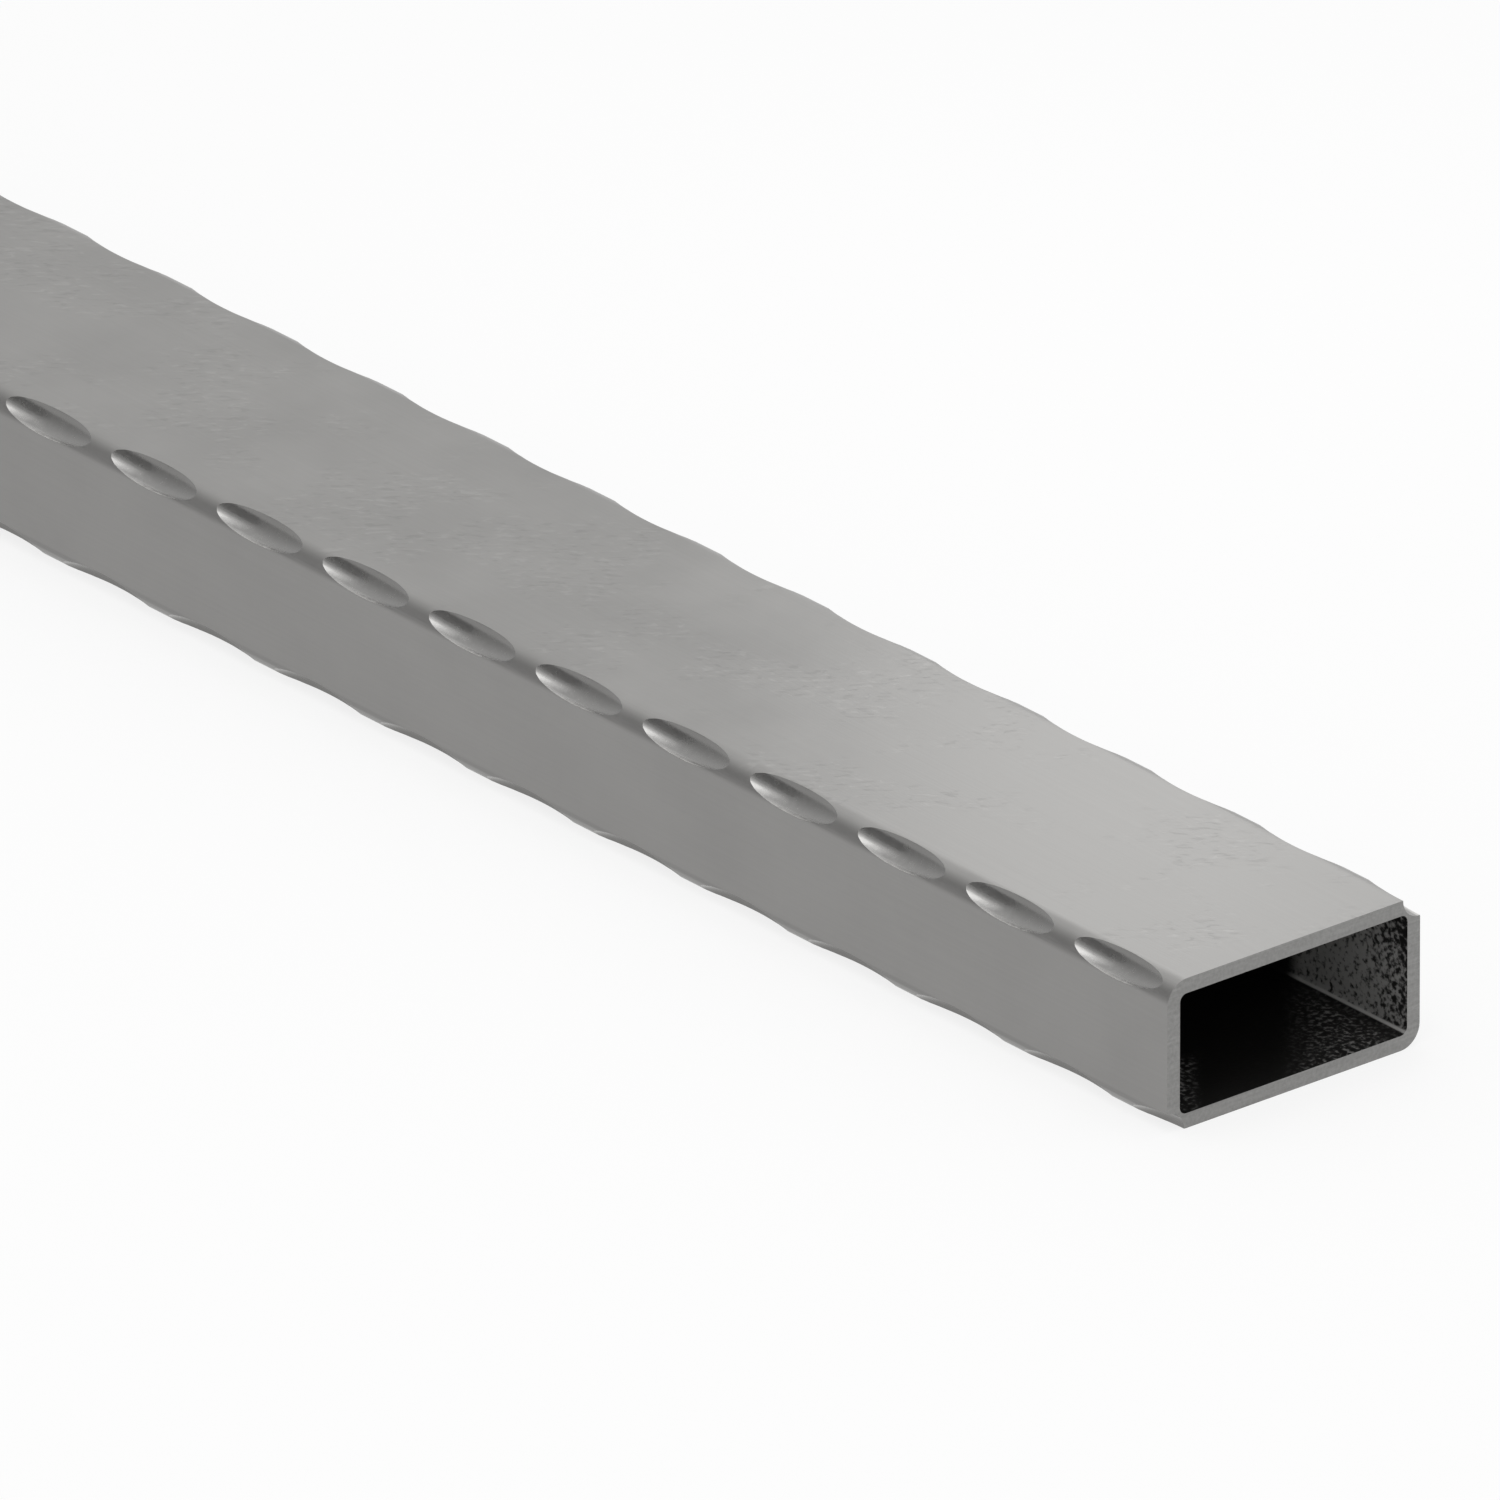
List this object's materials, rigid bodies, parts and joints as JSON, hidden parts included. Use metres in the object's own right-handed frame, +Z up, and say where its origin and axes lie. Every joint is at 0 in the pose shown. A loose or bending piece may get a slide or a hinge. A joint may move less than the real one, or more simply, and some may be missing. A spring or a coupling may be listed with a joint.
{
  "type": "rectangular steel tube",
  "caption": "Straight rectangular steel tube with both ends sawn square and a row of lens-shaped hammered scoops along each of its long corners.",
  "frame": {"origin": "middle of the wide face that the tube lies on, at floor level, halfway between the two sawn ends", "axes": "+X along the tube towards the open end that the picture shows, +Y across its 40 mm width, +Z up through its 20 mm height"},
  "size_m": [1, 0.04, 0.02],
  "materials": {
    "bare_steel": "satin"
  },
  "bodies": {
    "root": {"tube": "bare_steel"}
  },
  "joints": []
}
